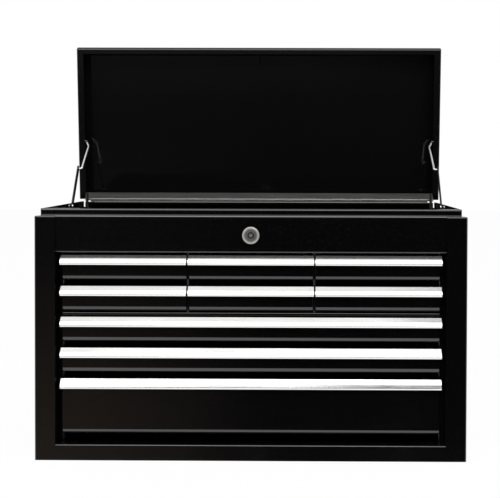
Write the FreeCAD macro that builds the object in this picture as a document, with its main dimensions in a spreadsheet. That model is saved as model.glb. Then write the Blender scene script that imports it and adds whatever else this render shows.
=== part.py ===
"""Machinist tool chest of folded sheet steel, in millimetres.

X runs to the right, Y to the back and Z up. The origin is the middle of the underside. The lid stands open.
"""

import FreeCAD, Part
import math
import os
import re

import Sketcher

SIZES = (
    # Body shell
    ("width", 660, "outside width of the body"),
    ("depth", 282, "front of the posts to the back panel"),
    ("post_height", 374, "top of the side panels' shoulders"),
    ("gauge", 1, "sheet of the body and the lid"),
    ("fold_radius", 2.5, "outer radius of an ordinary fold"),
    ("cap_radius", 2.2, "rounding over the posts and shoulders"),
    ("post_width", 31.5, "width of a front post"),
    ("post_return", 14, "depth of a post's inner flange"),
    ("rear_lap", 16, "side panel's flange behind the back panel's edge"),
    ("collar_inset", 8, "step from the body's outside to the collar"),
    ("collar_rise", 11, "top of the collar that the lid closes over, above the shoulders"),
    ("collar_radius", 3, "rounding over the collar's front"),
    ("collar_hem", 6, "depth of the fold inside that rounding"),
    ("collar_rear_gap", 6.5, "side collars' ends ahead of the back panel's outside"),
    ("back_hem", 10, "depth of the back panel's top fold"),
    ("back_hem_radius", 2.5, "outer radius of that fold's rear bend"),
    ("back_lip", 7, "height of the lip at that fold's front"),
    ("back_lip_radius", 3.5, "outer radius of the bend into that lip"),
    ("back_notch", 6, "ends of that fold inside the lock rods"),
    ("header_setback", 2.5, "header's face behind the posts' front"),
    ("header_drop", 55.9, "underside of the header below the shoulders"),
    ("header_rise", 2.5, "top of the header's rounded edge above the shoulders"),
    ("header_radius", 5, "rounding along the header's top"),
    ("header_hem", 10, "depth of the header's bottom fold"),
    ("rail_height", 24.3, "height of the bottom rail"),
    ("rail_lip", 18, "depth of the bottom rail's top fold"),
    ("rail_play", 0.3, "gap between the bottom rail's face and a post"),
    ("base_flange", 18, "height of the base panel's side flanges"),
    ("till_rise", 6.9, "floor of the till above the header's underside"),
    # Drawers
    ("face_recess", 10, "drawer faces behind the posts' front"),
    ("face_inset", 41, "ends of a wide drawer's face inside the body's sides"),
    ("face_gap", 4.7, "gap between small drawer faces"),
    ("face_bend", 9.5, "radius where a face turns under into the floor"),
    ("face_return", 8, "depth of the flanges round a face"),
    ("face_run_under", 14, "depth of the face's full-width part underneath"),
    ("drawer_gauge", 0.9, "sheet of the drawers"),
    ("row_drop", 4.7, "top of the first row of drawers below the header"),
    ("row_pitch", 47.56, "height from one row to the next"),
    ("row_gap", 7.56, "gap from one row's faces to the next row's"),
    ("deep_drawer_gap", 11.1, "gap from the lowest drawer's face to the bottom rail"),
    ("drawer_rear_gap", 16, "drawers' backs ahead of the back panel's outside"),
    ("wall_drop", 7.3, "drawer walls below the top of the face"),
    ("catch_depth", 9.5, "depth of the catch on a drawer's back"),
    ("catch_width", 18, "width of that catch"),
    ("catch_inset", 14, "middle of an end catch from the drawer's side"),
    ("catch_slot_width", 11, "width of the slot in a catch"),
    ("catch_slot_depth", 5, "front to back of that slot"),
    # Trims
    ("trim_inset", 38, "ends of a wide trim inside the body's sides"),
    ("trim_gap", 2.6, "gap between small trims"),
    ("trim_depth", 7.3, "trim's nose in front of the drawer face"),
    ("trim_height", 14.2, "height of a trim"),
    ("trim_gauge", 1.5, "wall of a trim"),
    ("trim_ridge_depth", 5.2, "edge between the upper and the front facet, ahead of the face"),
    ("trim_ridge_drop", 6.5, "that edge below the trim's top"),
    ("trim_groove_drop", 11, "start of the trim's groove below its top"),
    ("trim_groove", 0.5, "depth of the groove, and half its height"),
    ("trim_draw", 0.6, "trim's lower edge drawn in behind its nose"),
    ("trim_leg", 12, "height of the trim's leg against the drawer face"),
    # Dividers and slides
    ("divider_width", 3.5, "thickness of a folded divider"),
    ("divider_nose", 1.7, "rounding of a divider's front edge"),
    ("divider_setback", 1, "divider's front behind the header's bottom fold"),
    ("divider_rear_gap", 16.5, "dividers' ends ahead of the back panel's outside"),
    ("cross_rail_height", 5, "height of the rails that carry the dividers"),
    ("cross_rail_depth", 20, "depth of those rails"),
    ("cross_rail_radius", 1.5, "outer fold radius of those rails"),
    ("row_clearance", 1, "gap from a cross rail to the drawers above"),
    ("upright_width", 25, "front to back of a slide upright"),
    ("upright_front", 21, "front uprights behind the posts' front"),
    ("upright_rear", 24, "rear uprights ahead of the back panel's outside"),
    ("slide_space", 13, "width that a slide takes beside a drawer"),
    ("slide_gauge", 1.2, "sheet of the slides"),
    ("slide_play", 0.3, "play inside a slide"),
    ("slide_setback", 24.6, "slides behind the posts' front"),
    ("slide_rear_gap", 13.5, "slides' ends ahead of the back panel's outside"),
    ("slide_centre", 18, "middle of a slide above the drawer's underside"),
    ("rail_channel_height", 27, "height of the slide's outer channel"),
    ("runner_neck", 15, "height of the runner's neck"),
    ("runner_flange_height", 24, "height across the runner's flanges"),
    # Hinge and lid
    ("hinge_rise", 14, "hinge line above the shoulders"),
    ("hinge_inset", 10, "ends of the piano hinge inside the body's sides"),
    ("barrel_radius", 2.2, "outer radius of the knuckles"),
    ("hinge_pin_radius", 1, "radius of the hinge pin"),
    ("pin_play", 0.05, "play between a pin and its bore"),
    ("leaf_gauge", 0.8, "sheet of the hinge leaves"),
    ("leaf_play", 0.4, "gap from a leaf to the other leaf's knuckles"),
    ("knuckle_play", 0.4, "gap between two knuckles"),
    ("lid_open_angle", 85.5, "opening of the lid, in degrees"),
    ("lid_setback", 5, "closed lid's front behind the posts' front"),
    ("lid_rise", 29, "lid's top above the hinge line when closed"),
    ("lid_edge_radius", 3, "rounding round the lid's top"),
    ("lid_rim_radius", 5.5, "rounding along the lid's front rim"),
    ("lid_side_radius", 2.2, "rounding round the lid's ends"),
    ("lid_return", 12, "width of the flange round the lid's opening"),
    ("lid_flange_end", 8, "side flanges stop ahead of the hinge line"),
    ("rim_play", 0.5, "gap between the closed lid and the collar"),
    # Striker and lock
    ("striker_gauge", 1.5, "thickness of the striker"),
    ("striker_width", 15, "front to back of the striker"),
    ("striker_lead", 1.5, "striker ahead of the cam's window"),
    ("window_play", 1, "gap round the cam in the striker's window"),
    ("striker_tip", 2.2, "metal below the striker's window"),
    ("lock_rise", 26.9, "middle of the lock above the header's underside"),
    ("escutcheon_radius", 13, "radius of the lock's front ring"),
    ("escutcheon_depth", 2.8, "thickness of that ring"),
    ("escutcheon_round", 1.1, "rounding of that ring"),
    ("housing_radius", 9.5, "radius of the lock's body"),
    ("housing_length", 22.5, "length of the lock's body behind the header's face"),
    ("housing_play", 0.1, "play of the lock's body in the header"),
    ("nut_across", 24, "width across the lock nut's flats"),
    ("nut_depth", 4, "thickness of the lock nut"),
    ("plug_radius", 6.5, "radius of the key plug"),
    ("plug_recess", 0.4, "plug's face behind the ring's face"),
    ("keyway_outer", 4.9, "outer radius of the round keyway"),
    ("keyway_inner", 3.2, "inner radius of the round keyway"),
    ("keyway_depth", 6, "depth of the round keyway"),
    ("key_notch", 1.6, "width of the keyway's notch"),
    ("cam_gauge", 2, "thickness of the cam"),
    ("cam_hub", 8.5, "radius of the cam's hub"),
    ("cam_arm", 5, "width of the cam's arm"),
    ("claw_inner", 16, "inner radius of the cam's claw"),
    ("claw_outer", 22, "outer radius of the cam's claw"),
    ("claw_sweep", 52, "length of the claw, in degrees"),
    ("claw_lead", 24, "claw past the striker when locked, in degrees"),
    ("cam_nut_radius", 5.5, "radius of the nut that holds the cam"),
    ("cam_nut_depth", 3, "thickness of that nut"),
    # Lid stays
    ("stay_inset", 13.5, "stay wires inside the body's sides"),
    ("stay_knee_inset", 6.5, "knee of the wire further inside"),
    ("stay_knee_drop", 13, "knee of the wire below its upper end"),
    ("stay_lid_reach", 107, "upper pivot from the hinge line, along the lid"),
    ("stay_lid_rise", 2, "upper pivot above the hinge line when closed"),
    ("stay_foot_reach", 96, "lower pivot ahead of the hinge line"),
    ("stay_foot_drop", 9, "lower pivot below the hinge line"),
    ("wire_length", 69, "stay wire between its pivots"),
    ("strap_length", 78, "stay strap between its pivots"),
    ("wire_radius", 1.8, "radius of the stay wire"),
    ("wire_bend", 3.2, "bend radius of the stay wire"),
    ("strap_width", 11, "width of the stay strap"),
    ("strap_gauge", 1.4, "thickness of the stay strap"),
    ("strap_play", 0.4, "gap beside the strap"),
    ("rivet_radius", 2.6, "shank of the stays' rivets"),
    ("rivet_head_radius", 4.4, "head of the stays' rivets"),
    ("rivet_head_depth", 1.6, "height of those heads"),
    ("ear_depth", 9, "depth of the lid's stay ears"),
    ("ear_width", 14, "width of those ears along the lid"),
    # Drawer lock
    ("lock_rod_radius", 2.5, "radius of the lock rods"),
    ("lock_rod_inset", 15.5, "rods inside the body's outside"),
    ("lock_rod_lead", 9, "rods ahead of the hinge line"),
    ("lock_rod_rise", 12, "rods above the hinge line, lid open"),
    ("lock_rod_hole", 4, "radius of the rods' holes in the till's floor"),
    ("lock_rod_bottom", 14, "rods' lower ends above the underside, lid open"),
    ("guide_height", 20, "height of the rods' guides"),
    ("guide_radius", 6, "outer radius of the rods' guides"),
    ("tooth_gauge", 2, "thickness of the lock's bars and teeth"),
    ("tooth_lead", 1, "teeth ahead of the rods' middle"),
    ("tooth_width", 8, "width of a tooth"),
    ("tooth_height", 10, "length of a tooth below its arm"),
    ("tooth_arm", 4, "height of a tooth's arm"),
    ("tooth_clearance", 2, "gap from a raised tooth to the catch"),
    ("cross_bar_height", 4, "height of the lock's cross bar"),
    ("cross_bar_drop", 2.5, "cross bar's top below the till's floor when raised"),
    ("collar_ring_radius", 6, "radius of the rings over the springs"),
    ("collar_ring_depth", 2, "thickness of those rings"),
    ("spring_length", 32, "length of a return spring, lid open"),
    ("spring_radius", 4.2, "mean radius of a return spring"),
    ("spring_wire", 0.8, "radius of the springs' wire"),
    ("spring_pitch", 3.6, "pitch of the springs"),
    # Side handles
    ("handle_low", 139, "handles' pivots below the shoulders"),
    ("handle_span", 104, "distance between a handle's ears"),
    ("handle_standoff", 8, "handles' pivots outside the side panels"),
    ("handle_drop", 36, "grip below the pivots"),
    ("handle_wire", 3.5, "radius of a handle's wire"),
    ("handle_turn", 5.5, "bend radius of a handle's wire at its ears"),
    ("handle_bend", 8, "bend radius of a handle's wire at its grip"),
    ("grip_radius", 5.5, "radius of a handle's grip"),
    ("grip_length", 74, "length of that grip"),
    ("bracket_gauge", 2, "sheet of the handle brackets"),
    ("bracket_height", 26, "height of a handle bracket"),
    ("bracket_lap", 15, "bracket's plate past each ear"),
    ("bracket_ear", 13, "depth of a bracket's ears"),
    ("bracket_rivet", 3.6, "radius of the brackets' rivet heads"),
    ("bracket_rivet_depth", 1.4, "height of those heads"),
    ("overrun", 2, "how far a cut runs past the metal"),
)
KNUCKLES = 24
DRAWER_ROWS = 5
SMALL_ROWS = 2
SMALL_COLUMNS = 3

document = FreeCAD.newDocument("tool_chest")
sheet = document.addObject("Spreadsheet::Sheet", "Sizes")
for row, (alias, number, meaning) in enumerate(SIZES, start=1):
    sheet.set(f"A{row}", meaning)
    sheet.set(f"B{row}", str(number))
    sheet.setAlias(f"B{row}", alias)
document.recompute()

ALIASES = {alias for alias, number, meaning in SIZES}
SIDES = {"left": -1, "right": 1}
sub_parts = {}


def linked(expression):
    """The expression with each of the sheet's names pointed at the sheet."""

    def point(word):
        return f"Sizes.{word[0]}" if word[0] in ALIASES else word[0]

    return re.sub(r"[a-z_]+", point, str(expression))


def size(expression):
    """The expression's value now."""
    return float(sheet.evalExpression(str(expression)))


def bind(thing, path, expression):
    thing.setExpression(path, linked(expression))


def place(thing, across="0", back="0", up="0"):
    """Set a sub-part down where three expressions say."""
    bind(thing, "Placement.Base.x", across)
    bind(thing, "Placement.Base.y", back)
    bind(thing, "Placement.Base.z", up)


def keep(name, thing):
    """Name a finished sub-part, which is then written to a file of that name."""
    thing.Label = name
    sub_parts[name] = thing
    return thing


def new_body(name):
    return keep(name, document.addObject("PartDesign::Body", name))


def new_sketch(body, role, offset="0"):
    """A sketch on the body's plane of that role, moved along the plane's normal."""
    sketch = body.newObject("Sketcher::SketchObject", "sketch")
    planes = [feature for feature in body.Origin.OriginFeatures if feature.Role == role]
    sketch.AttachmentSupport = [(planes[0], "")]
    sketch.MapMode = "FlatFace"
    bind(sketch, "AttachmentOffset.Base.z", offset)
    return sketch


def pin_point(sketch, line, end, spot):
    """Tie one end of a line to a pair of expressions."""
    for kind, expression in zip(("DistanceX", "DistanceY"), spot):
        number = sketch.addConstraint(Sketcher.Constraint(kind, -1, 1, line, end, size(expression)))
        bind(sketch, f"Constraints[{number}]", expression)


def direction(start, end):
    """Unit step from one point to the next: signs alone for a square outline."""
    across, up = end[0] - start[0], end[1] - start[1]
    length = math.hypot(across, up)
    return round(across / length, 6), round(up / length, 6)


def draw_outline(sketch, corners, closed=True):
    """Draw an outline. A corner is (across, up) or, where it is rounded, (across, up, radius)."""
    spots = [(size(corner[0]), size(corner[1])) for corner in corners]
    count = len(corners)
    arrive, leave, turns = [], [], []
    for index, corner in enumerate(corners):
        across, up = corner[:2]
        radius = corner[2] if len(corner) > 2 else "0"
        before = direction(spots[index - 1], spots[index])
        after = direction(spots[index], spots[(index + 1) % count])
        turn = math.acos(max(-1, min(1, before[0] * after[0] + before[1] * after[1])))
        share = 0 if size(radius) == 0 else round(math.tan(turn / 2), 6)
        here = (across, up)
        arrive.append([f"{spot} - ({step * share:.6f}) * ({radius})" for spot, step in zip(here, before)])
        leave.append([f"{spot} + ({step * share:.6f}) * ({radius})" for spot, step in zip(here, after)])
        turns.append(turn)
    rounded = [len(corner) > 2 and size(corner[2]) > 0 for corner in corners]
    first = sketch.GeometryCount
    lines = count if closed else count - 1
    for index in range(lines):
        ends = [FreeCAD.Vector(size(x), size(y), 0) for x, y in (leave[index], arrive[(index + 1) % count])]
        sketch.addGeometry(Part.LineSegment(*ends))
    for index in range(lines):
        line = first + index
        following = (index + 1) % count
        pin_point(sketch, line, 1, leave[index] if rounded[index] else corners[index][:2])
        if rounded[following] or following == lines:
            pin_point(sketch, line, 2, arrive[following] if rounded[following] else corners[following][:2])
        else:
            sketch.addConstraint(Sketcher.Constraint("Coincident", line, 2, first + following, 1))
    for index in range(count):
        if rounded[index]:
            start, end = (FreeCAD.Vector(size(x), size(y), 0) for x, y in (arrive[index], leave[index]))
            corner = FreeCAD.Vector(*spots[index], 0)
            radius = size(corners[index][2])
            inward = (start + end - corner * 2).normalize()
            crown = corner + inward * (radius / math.cos(turns[index] / 2) - radius)
            turns_left = (corner - start).cross(end - corner).z > 0
            ends = (start, end) if turns_left else (end, start)
            arc = sketch.addGeometry(Part.Arc(ends[0], crown, ends[1]))
            near, far = (1, 2) if turns_left else (2, 1)
            before = first + (index - 1) % count
            sketch.addConstraint(Sketcher.Constraint("Coincident", arc, near, before, 2))
            sketch.addConstraint(Sketcher.Constraint("Coincident", arc, far, first + index, 1))
            number = sketch.addConstraint(Sketcher.Constraint("Radius", arc, radius))
            bind(sketch, f"Constraints[{number}]", corners[index][2])


def draw_circle(sketch, across, up, radius):
    """Draw a circle tied to its centre and radius."""
    spot = FreeCAD.Vector(size(across), size(up), 0)
    circle = sketch.addGeometry(Part.Circle(spot, FreeCAD.Vector(0, 0, 1), size(radius)))
    pin_point(sketch, circle, 3, (across, up))
    number = sketch.addConstraint(Sketcher.Constraint("Radius", circle, size(radius)))
    bind(sketch, f"Constraints[{number}]", radius)


def sheet_outline(path, metal, side, radius="0"):
    """Outline of a sheet folded square along a path, which is one of its faces.

    The metal lies to the path's left where side is 1 and to its right where it is -1. A point may give its
    own outer fold radius.
    """
    spots = [(size(point[0]), size(point[1])) for point in path]
    steps = [direction(start, end) for start, end in zip(spots, spots[1:])]
    near, far = [], []
    for index, point in enumerate(path):
        touching = [steps[i] for i in (index - 1, index) if 0 <= i < len(steps)]
        shift_across = sum(-step[1] * side for step in touching)
        shift_up = sum(step[0] * side for step in touching)
        beyond = (f"{point[0]} + ({shift_across}) * {metal}", f"{point[1]} + ({shift_up}) * {metal}")
        outer = point[2] if len(point) > 2 else radius
        if len(touching) == 2 and size(outer) > 0:
            turn = touching[0][0] * touching[1][1] - touching[0][1] * touching[1][0]
            inner = f"{outer} - {metal}"
            radii = (outer, inner) if turn * side > 0 else (inner, outer)
            near.append((point[0], point[1], radii[0]))
            far.append((*beyond, radii[1]))
        else:
            near.append((point[0], point[1]))
            far.append(beyond)
    return near + far[::-1]


def extrude(body, role, outlines, low, high, kind="PartDesign::Pad"):
    """Pad or pocket outlines, drawn square to an axis, from low to high along that axis."""
    start, sign = (f"-({high})", -1) if role == "XZ_Plane" else (low, 1)
    sketch = new_sketch(body, role, start)
    for outline in outlines:
        if isinstance(outline, tuple):
            draw_circle(sketch, *outline)
        else:
            draw_outline(sketch, outline)
    feature = body.newObject(kind, "feature")
    feature.Profile = (sketch, [""])
    feature.Reversed = kind == "PartDesign::Pocket"
    bind(feature, "Length", f"({high}) - ({low})")
    return feature


def carve(body, role, outlines, low, high):
    """Cut outlines out of the body from low to high, and see that metal was taken."""
    document.recompute()
    before = body.Shape.Volume
    extrude(body, role, outlines, low, high, "PartDesign::Pocket")
    document.recompute()
    if not body.Shape.Volume < before:
        raise RuntimeError(f"a cut in {body.Label} takes nothing away")


def rectangle(left, right, bottom, top):
    return [(left, bottom), (right, bottom), (right, top), (left, top)]


def sided(side, near, far):
    """Low and high end of a stretch given outwards from the middle, on the left or the right side."""
    return (near, far) if side > 0 else (f"-({far})", f"-({near})")


def block(across, back, up):
    """A box between three pairs of expressions."""
    box = document.addObject("Part::Box", "box")
    for name, axis, (low, high) in zip(("Length", "Width", "Height"), "xyz", (across, back, up)):
        bind(box, name, f"({high}) - ({low})")
        bind(box, f"Placement.Base.{axis}", low)
    return box


TURNS = {
    "x": FreeCAD.Rotation(FreeCAD.Vector(0, 1, 0), 90),
    "y": FreeCAD.Rotation(FreeCAD.Vector(1, 0, 0), -90),
    "z": FreeCAD.Rotation(),
}


def round_bar(axis, radius, low, high, centre):
    """A cylinder along an axis from low to high; centre gives its other two places in X, Y, Z order."""
    bar = document.addObject("Part::Cylinder", "bar")
    bar.Placement = FreeCAD.Placement(FreeCAD.Vector(), TURNS[axis])
    bind(bar, "Radius", radius)
    bind(bar, "Height", f"({high}) - ({low})")
    places = list(centre)
    places.insert("xyz".index(axis), low)
    place(bar, *places)
    return bar


def fuse(things):
    joined = document.addObject("Part::MultiFuse", "joined")
    joined.Shapes = things
    return joined


def cut(base, tool):
    left = document.addObject("Part::Cut", "cut")
    left.Base = base
    left.Tool = tool
    return left


def group(things):
    gathered = document.addObject("Part::Compound", "group")
    gathered.Links = things
    return gathered


HALF = "width / 2"
FRONT = "-depth / 2"
REAR = "depth / 2"
INNER = f"({HALF} - gauge)"
COLLAR = f"({HALF} - collar_inset)"
HEADER_FACE = f"({FRONT} + header_setback)"
COLLAR_FRONT = f"({FRONT} + collar_inset)"
COLLAR_TOP = "(post_height + collar_rise)"
HEADER_BOTTOM = "(post_height - header_drop)"
HEADER_TOP = "(post_height + header_rise)"
TILL_FLOOR = f"({HEADER_BOTTOM} + till_rise)"
TILL_UNDERSIDE = f"({TILL_FLOOR} - gauge)"
HINGE_UP = "(post_height + hinge_rise)"
HINGE_HALF = f"({HALF} - hinge_inset)"


# Side panels: each is a post, a wall and a rear lap folded from one sheet, with a shoulder and the collar.
def side_panel(name, side):
    body = new_body(name)
    post = f"{HALF} - post_width"
    behind = f"{REAR} - gauge"
    wall = [(post, FRONT), (HALF, FRONT), (HALF, behind), (f"{HALF} - rear_lap", behind)]
    lip = [(post, f"{FRONT} + post_return"), (post, FRONT), (f"{post} + post_return", FRONT)]
    shoulder = [(HALF, "post_height - rear_lap"), (HALF, "post_height"), (f"{COLLAR} - gauge", "post_height")]
    upstand = [(f"{HALF} - cap_radius", "post_height"), (COLLAR, "post_height"), (COLLAR, COLLAR_TOP)]
    cap = [(FRONT, "post_height - rear_lap"), (FRONT, "post_height"), (HEADER_FACE, "post_height")]

    def mirrored(path):
        return [(f"{side} * ({point[0]})", point[1]) for point in path]

    def strip(path, radius):
        return [sheet_outline(mirrored(path), "gauge", side, radius)]

    extrude(body, "XY_Plane", strip(wall, "fold_radius"), "0", "post_height - cap_radius")
    extrude(body, "XY_Plane", strip(lip, "fold_radius"), "rail_height", HEADER_BOTTOM)
    extrude(body, "XZ_Plane", strip(shoulder, "cap_radius"), f"{FRONT} + cap_radius", f"{REAR} - gauge")
    extrude(body, "XZ_Plane", strip(upstand, "0"), COLLAR_FRONT, f"{REAR} - collar_rear_gap")
    reach = sided(side, post, f"{HALF} - cap_radius")
    extrude(body, "YZ_Plane", [sheet_outline(cap, "gauge", -1, "cap_radius")], *reach)
    corner = body.newObject("PartDesign::AdditiveSphere", "corner")
    bind(corner, "Radius", "cap_radius")
    place(corner, f"{side} * ({HALF} - cap_radius)", f"{FRONT} + cap_radius", "post_height - cap_radius")


for hand, side in SIDES.items():
    side_panel(f"{hand}_side_panel", side)

# Back panel: a plate across the sides, with a narrower part above it that folds forward and down at the top.
BACK_TOP = f"({HINGE_UP} - barrel_radius)"
ROD_ACROSS = f"({HALF} - lock_rod_inset)"
HEM_HALF = f"({ROD_ACROSS} - back_notch)"
back = new_body("back_panel")
plates = (
    rectangle(f"-{HALF}", HALF, "0", "post_height"),
    rectangle(f"-{HINGE_HALF}", HINGE_HALF, "post_height - rear_lap", f"{BACK_TOP} - back_hem_radius"),
)
for plate in plates:
    extrude(back, "XZ_Plane", [plate], f"{REAR} - gauge", REAR)
back_hem = [
    (REAR, "post_height - rear_lap"),
    (REAR, BACK_TOP, "back_hem_radius"),
    (f"{REAR} - back_hem", BACK_TOP, "back_lip_radius"),
    (f"{REAR} - back_hem", f"{BACK_TOP} - back_lip"),
]
extrude(back, "YZ_Plane", [sheet_outline(back_hem, "gauge", 1)], f"-{HEM_HALF}", HEM_HALF)

# Base panel: the floor, with a flange up each side.
base = new_body("base_panel")
base_path = [(f"-{INNER}", "base_flange"), (f"-{INNER}", "0"), (INNER, "0"), (INNER, "base_flange")]
base_strip = sheet_outline(base_path, "gauge", 1, "fold_radius")
extrude(base, "XZ_Plane", [base_strip], f"{FRONT} + fold_radius", f"{REAR} - 2 * gauge")

# Bottom rail: an angle flush between the posts, with a backing strip that is welded behind them.
rail = new_body("bottom_rail")
RAIL_HALF = f"({HALF} - post_width - rail_play)"
rail_path = [(FRONT, "0"), (FRONT, "rail_height"), (f"{FRONT} + rail_lip", "rail_height")]
extrude(rail, "YZ_Plane", [sheet_outline(rail_path, "gauge", -1, "fold_radius")], f"-{RAIL_HALF}", RAIL_HALF)
backing = rectangle(f"{FRONT} + gauge", f"{FRONT} + 2 * gauge", "0", "rail_height - fold_radius")
extrude(rail, "YZ_Plane", [backing], f"-({INNER} - fold_radius)", f"{INNER} - fold_radius")

# Header panel: the face over the drawers, rounded at the top, with its part of the collar.
header = new_body("header_panel")
header_path = [
    (f"{HEADER_FACE} + header_hem", HEADER_BOTTOM),
    (HEADER_FACE, HEADER_BOTTOM, "fold_radius"),
    (HEADER_FACE, HEADER_TOP, "header_radius"),
    (COLLAR_FRONT, HEADER_TOP),
    (COLLAR_FRONT, COLLAR_TOP, "collar_radius"),
    (f"{COLLAR_FRONT} + collar_hem", COLLAR_TOP),
]
header_strip = sheet_outline(header_path, "gauge", -1)
extrude(header, "YZ_Plane", [header_strip], f"-({COLLAR} - gauge)", f"{COLLAR} - gauge")
LOCK_HEIGHT = f"({HEADER_BOTTOM} + lock_rise)"
lock_hole = ("0", LOCK_HEIGHT, "housing_radius + housing_play")
carve(header, "XZ_Plane", [lock_hole], f"{HEADER_FACE} - overrun", f"{HEADER_FACE} + gauge + overrun")

# Top tray: the till's floor. Its front lip is welded behind the header, and the lock rods pass through it.
TRAY_LIP = f"({HEADER_BOTTOM} + fold_radius)"
ROD_BACK = f"({REAR} - lock_rod_lead)"
tray = new_body("top_tray")
tray_path = [
    (f"{HEADER_FACE} + gauge", TRAY_LIP),
    (f"{HEADER_FACE} + gauge", TILL_FLOOR),
    (f"{REAR} - 2 * gauge", TILL_FLOOR),
    (f"{REAR} - 2 * gauge", TRAY_LIP),
]
extrude(tray, "YZ_Plane", [sheet_outline(tray_path, "gauge", -1, "fold_radius")], f"-{INNER}", INNER)
rod_holes = [(f"{side} * {ROD_ACROSS}", ROD_BACK, "lock_rod_hole") for side in SIDES.values()]
carve(tray, "XY_Plane", rod_holes, f"{TILL_UNDERSIDE} - overrun", f"{TILL_FLOOR} + overrun")

# Dividers: two folded uprights between the small drawers, carried by two rails across the body.
WIDE_FACE = "(width - 2 * face_inset)"
SMALL_FACE = f"(({WIDE_FACE} - {SMALL_COLUMNS - 1} * face_gap) / {SMALL_COLUMNS})"
COLUMN_PITCH = f"({SMALL_FACE} + face_gap)"
CARRIER = f"({COLUMN_PITCH} * {SMALL_COLUMNS} / 2 - divider_width / 2)"


def row_top(row):
    """Top of the drawer faces in a row, counted from the top row as 0."""
    return f"({HEADER_BOTTOM} - row_drop - {row} * row_pitch)"


def row_bottom(row):
    """Underside of the drawers in a row: the lowest row reaches down to the bottom rail."""
    if row == DRAWER_ROWS - 1:
        return "(rail_height + deep_drawer_gap)"
    return f"({row_top(row)} - row_pitch + row_gap)"


CROSS_TOP = f"({row_bottom(SMALL_ROWS - 1)} - row_clearance)"
DIVIDER_FRONT = f"({HEADER_FACE} + header_hem + divider_setback)"
dividers = []
for place_share in (-0.5, 0.5):
    divider = document.addObject("PartDesign::Body", "divider")
    middle = f"{place_share} * {COLUMN_PITCH}"
    left, right = f"{middle} - divider_width / 2", f"{middle} + divider_width / 2"
    end = f"{REAR} - divider_rear_gap"
    path = [(left, end), (left, DIVIDER_FRONT), (right, DIVIDER_FRONT), (right, end)]
    extrude(divider, "XY_Plane", [sheet_outline(path, "gauge", 1, "divider_nose")], CROSS_TOP, TILL_UNDERSIDE)
    dividers.append(divider)
keep("drawer_dividers", group(dividers))

cross_rails = []
for front in (DIVIDER_FRONT, f"({REAR} - divider_rear_gap - cross_rail_depth)"):
    cross_rail = document.addObject("PartDesign::Body", "cross_rail")
    behind = f"{front} + cross_rail_depth"
    bottom = f"{CROSS_TOP} - cross_rail_height"
    path = [(behind, bottom), (front, bottom), (front, CROSS_TOP), (behind, CROSS_TOP)]
    outline = sheet_outline(path, "gauge", -1, "cross_rail_radius")
    extrude(cross_rail, "YZ_Plane", [outline], f"-{CARRIER}", CARRIER)
    cross_rails.append(cross_rail)
keep("cross_rails", group(cross_rails))

# Slide uprights: four folded channels on the side panels that carry the slides.
uprights = []
for side in SIDES.values():
    for start in (f"({FRONT} + upright_front)", f"({REAR} - upright_rear - upright_width)"):
        upright = document.addObject("PartDesign::Body", "upright")
        wall, face = f"{side} * {INNER}", f"{side} * {CARRIER}"
        end = f"{start} + upright_width"
        path = [(wall, start), (face, start), (face, end), (wall, end)]
        outline = sheet_outline(path, "gauge", -side, "fold_radius")
        extrude(upright, "XY_Plane", [outline], "base_flange", TILL_UNDERSIDE)
        uprights.append(upright)
keep("slide_uprights", group(uprights))

# Slides: a lipped channel on the carcass, and a hat-shaped runner on the drawer that hangs in it.
CHANNEL_DEPTH = "(3 * slide_gauge + 2 * slide_play)"
SLIDE_FRONT = f"({FRONT} + slide_setback)"
SLIDE_LENGTH = "(depth - slide_setback - slide_rear_gap)"
NECK_GAP = "(runner_neck / 2 + slide_play)"


def slide_channel(face, side, middle):
    """Outline of a channel whose back stands on a carrier's face; side tells where the carrier is."""
    mouth = f"{face} - {side} * {CHANNEL_DEPTH}"
    bottom, top = f"{middle} - rail_channel_height / 2", f"{middle} + rail_channel_height / 2"
    path = [(mouth, f"{middle} - {NECK_GAP}"), (mouth, bottom), (face, bottom)]
    path += [(face, top), (mouth, top), (mouth, f"{middle} + {NECK_GAP}")]
    return sheet_outline(path, "slide_gauge", side)


def slide_runner(wall, side, middle):
    """Outline of a runner riveted to a drawer's wall; side tells which wall."""
    reach = f"{wall} + {side} * (slide_space - 2 * slide_gauge - slide_play)"
    neck_low, neck_high = f"{middle} - runner_neck / 2", f"{middle} + runner_neck / 2"
    path = [(reach, f"{middle} - runner_flange_height / 2"), (reach, neck_low), (wall, neck_low)]
    path += [(wall, neck_high), (reach, neck_high), (reach, f"{middle} + runner_flange_height / 2")]
    return sheet_outline(path, "slide_gauge", -side)


def drawer_columns(row):
    """Middle of each drawer in a row."""
    if row >= SMALL_ROWS:
        return ["0"]
    return [f"({column - (SMALL_COLUMNS - 1) / 2}) * {COLUMN_PITCH}" for column in range(SMALL_COLUMNS)]


def carrier_reach(row):
    """Half the width between the carriers beside a drawer."""
    return CARRIER if row >= SMALL_ROWS else f"(({COLUMN_PITCH} - divider_width) / 2)"


channels = {"small": [], "wide": []}
for row in range(DRAWER_ROWS):
    for middle in drawer_columns(row):
        for side in SIDES.values():
            channel = document.addObject("PartDesign::Body", "channel")
            face = f"{middle} + {side} * {carrier_reach(row)}"
            outline = slide_channel(face, side, f"{row_bottom(row)} + slide_centre")
            extrude(channel, "XZ_Plane", [outline], SLIDE_FRONT, f"{SLIDE_FRONT} + {SLIDE_LENGTH}")
            channels["small" if row < SMALL_ROWS else "wide"].append(channel)
for kind, pieces in channels.items():
    keep(f"{kind}_drawer_slide_channels", group(pieces))

# Drawers: each tray is one sheet folded into face, floor and back, with end walls welded in.
FACE = f"({FRONT} + face_recess)"
DRAWER_REACH = "(depth - face_recess - drawer_rear_gap)"


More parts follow.
